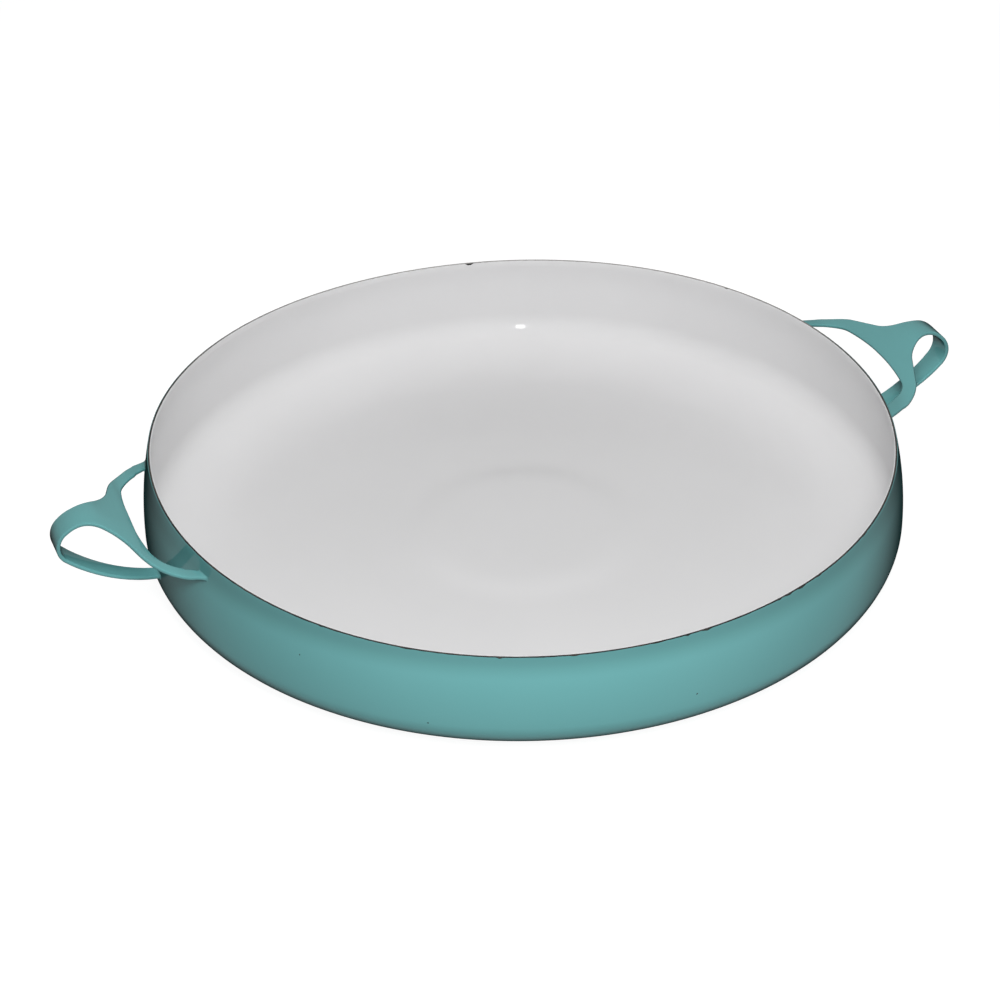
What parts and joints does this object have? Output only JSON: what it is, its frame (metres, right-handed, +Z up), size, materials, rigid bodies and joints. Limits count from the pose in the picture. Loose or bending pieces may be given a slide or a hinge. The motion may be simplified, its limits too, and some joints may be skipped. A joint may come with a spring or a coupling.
{
  "type": "enamel paella pan",
  "caption": "Wide shallow round pan of pressed enamelled steel, white inside and teal outside, with a folded strap loop handle on each side.",
  "frame": {"origin": "middle of the underside, on the pan's axis, at the level of the table", "axes": "+Z up along the pan's axis; the two handles lie along +X and -X"},
  "size_m": [0.4852, 0.3868, 0.0704],
  "materials": {
    "teal_enamel": "gloss",
    "white_enamel": "gloss",
    "ground_coat": "satin"
  },
  "bodies": {
    "root": {"pan_body": "teal_enamel", "handle_right": "teal_enamel", "handle_left": "teal_enamel"}
  },
  "joints": []
}
